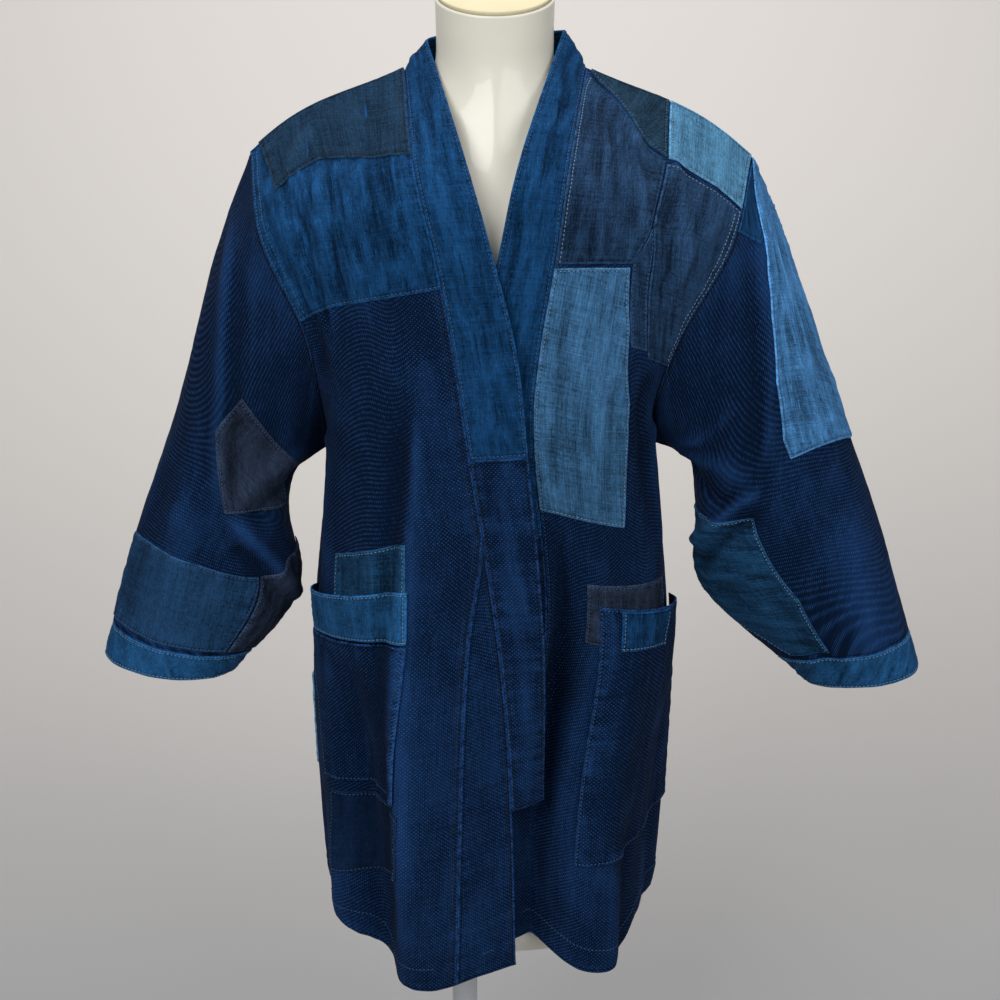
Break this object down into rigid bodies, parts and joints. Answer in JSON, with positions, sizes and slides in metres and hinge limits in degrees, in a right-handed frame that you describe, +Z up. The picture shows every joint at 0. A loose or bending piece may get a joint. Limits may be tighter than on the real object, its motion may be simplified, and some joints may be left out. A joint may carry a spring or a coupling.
{
  "type": "patched boro jacket on a dress form",
  "caption": "Open-front patchwork jacket in indigo cloths, with wide sleeves and patch pockets, worn on a limbless dress form on a pole stand.",
  "frame": {"origin": "centre of the round base, on its underside", "axes": "+Z up, -Y towards the jacket's open front, +X towards the wearer's left"},
  "size_m": [0.876, 0.35, 1.3201],
  "materials": {
    "navy_sashiko": "thick sashiko-weave cotton, dark indigo with raised paler grains",
    "mid_blue_crinkle": "crinkled slub cotton, mid indigo",
    "light_blue_cotton": "washed plain cotton, light indigo blue",
    "light_chambray": "crinkled chambray with white weft showing",
    "dark_slub": "dark blue-grey slub cotton with dark flecks",
    "grey_blue_chambray": "grey-blue chambray",
    "charcoal_cotton": "worn charcoal cotton",
    "denim": "light denim, dark blue",
    "form_shell": "moulded shell, off-white, satin gloss",
    "cap_cloth": "beige matt cap",
    "stand_metal": "pale grey powder coat"
  },
  "bodies": {
    "root": {"front_right": "navy_sashiko", "front_left": "navy_sashiko", "front_wedge_right": "navy_sashiko", "back": "navy_sashiko", "collar_lower_right": "navy_sashiko", "collar_upper_right": "mid_blue_crinkle", "collar_lower_left": "navy_sashiko", "collar_upper_left": "mid_blue_crinkle", "yoke_right": "mid_blue_crinkle", "shoulder_patch_right": "grey_blue_chambray", "pocket_backing_right": "light_chambray", "lower_patch_right": "denim", "side_patch_right": "light_blue_cotton", "slub_patch_inner_left": "dark_slub", "slub_patch_outer_left": "dark_slub", "grey_shoulder_patch_left": "grey_blue_chambray", "blue_shoulder_patch_left": "light_blue_cotton", "chambray_patch_left": "light_chambray", "strip_patch_left": "dark_slub", "pocket_backing_left": "charcoal_cotton", "pocket_right": "navy_sashiko", "pocket_band_right": "light_blue_cotton", "pocket_left": "navy_sashiko", "pocket_patch_left": "mid_blue_crinkle", "sleeve_right": "navy_sashiko", "sleeve_left": "navy_sashiko", "charcoal_patch_right": "charcoal_cotton", "denim_patch_right": "denim", "under_sleeve_right": "charcoal_cotton", "long_patch_left": "mid_blue_crinkle", "small_strip_left": "mid_blue_crinkle", "under_sleeve_left": "light_chambray", "cuff_right": "light_blue_cotton", "cuff_left": "light_blue_cotton", "dress_form": "form_shell", "neck_cap": "cap_cloth", "stand_base": "stand_metal", "stand_pole": "stand_metal"}
  },
  "joints": []
}
